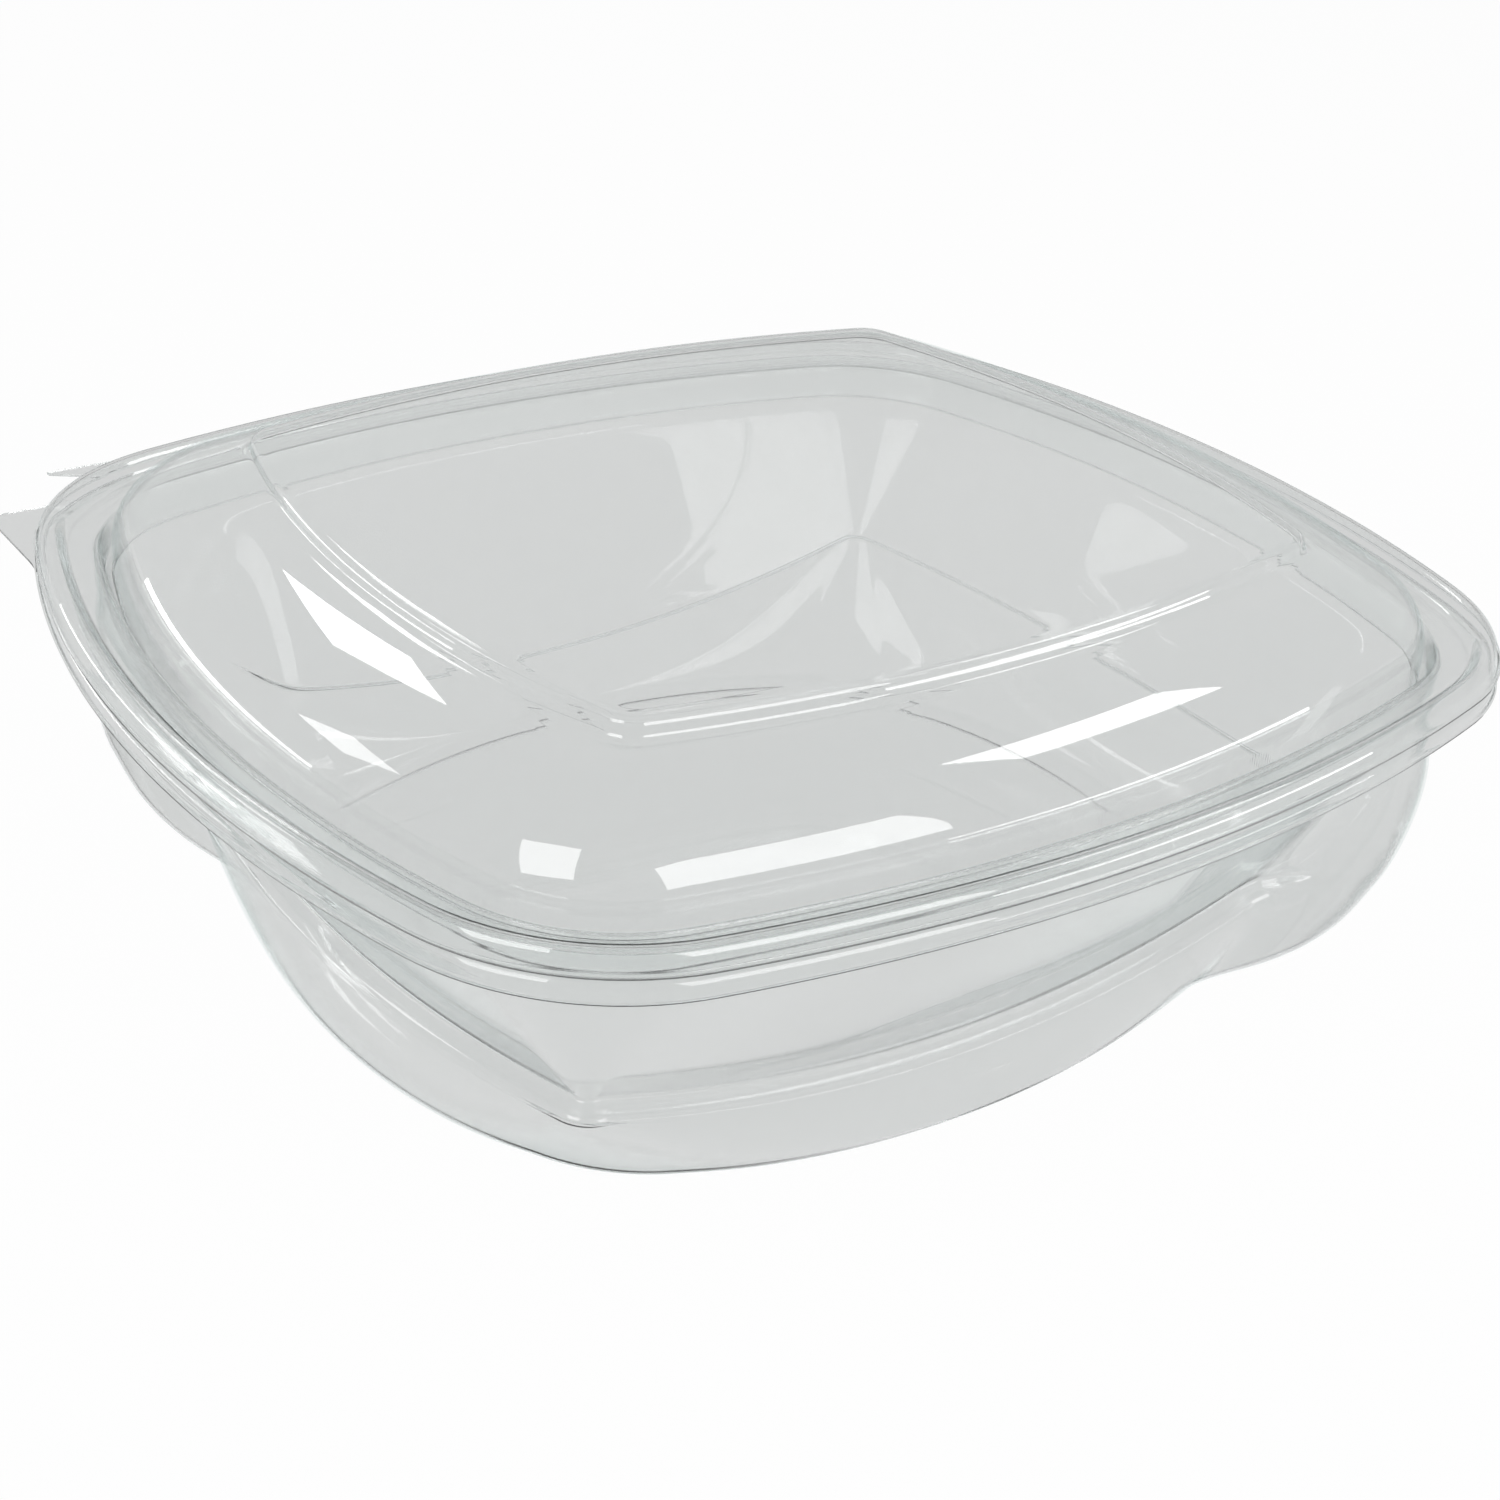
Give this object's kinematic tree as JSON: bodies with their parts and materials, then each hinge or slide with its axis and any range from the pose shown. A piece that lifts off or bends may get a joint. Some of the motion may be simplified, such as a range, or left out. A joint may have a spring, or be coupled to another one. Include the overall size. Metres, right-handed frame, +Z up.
{
  "type": "plastic food container",
  "caption": "Clear thermoformed food container: a bowed rectangular bowl with recessed wall panels over a ledge, and a domed press-on lid, each with a pull tab.",
  "frame": {"origin": "centre of the container on the plane that it stands on", "axes": "+Z up, +X along the length, -Y towards the front; the pull tabs are at the left back corner (-X, +Y)"},
  "size_m": [0.2376, 0.2116, 0.0823],
  "materials": {
    "base": "clear and glossy, with a very slight cool tint at its edges",
    "lid": "clear and glossy, with a very slight cool tint at its edges"
  },
  "bodies": {
    "base": {"base": "base"},
    "lid": {"lid": "lid"}
  },
  "joints": [
    {"name": "lid_lift", "type": "slide", "parent": "base", "child": "lid", "axis": [0, 0, 1], "range_m": [0, 0.06]}
  ]
}
